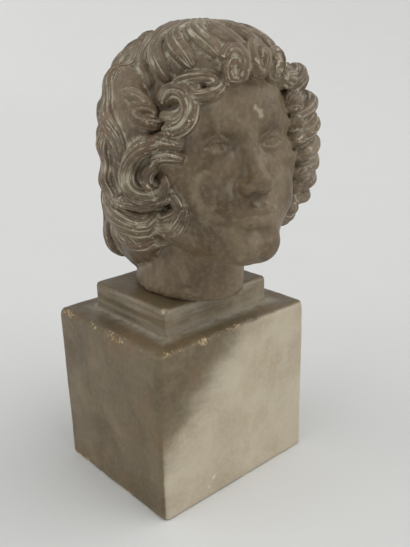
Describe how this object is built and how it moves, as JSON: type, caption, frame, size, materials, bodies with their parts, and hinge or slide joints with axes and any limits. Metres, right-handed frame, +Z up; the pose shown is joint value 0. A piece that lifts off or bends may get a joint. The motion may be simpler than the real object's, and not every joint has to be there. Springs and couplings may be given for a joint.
{
  "type": "plaster bust",
  "caption": "Patinated plaster head with curled medieval hair on a short neck, standing on a stepped block plinth.",
  "frame": {"origin": "middle of the plinth's underside", "axes": "+Z up, -Y out of the block's front face, -X to the figure's right hand"},
  "size_m": [0.112, 0.13, 0.2543],
  "materials": {
    "head_plaster": "brown stone-coloured patina on plaster, rubbed paler, satin where handled",
    "plinth_plaster": "brown patina on plaster, rubbed to pale beige, with ochre worn edges"
  },
  "bodies": {
    "root": {"head": "head_plaster", "plinth": "plinth_plaster"}
  },
  "joints": []
}
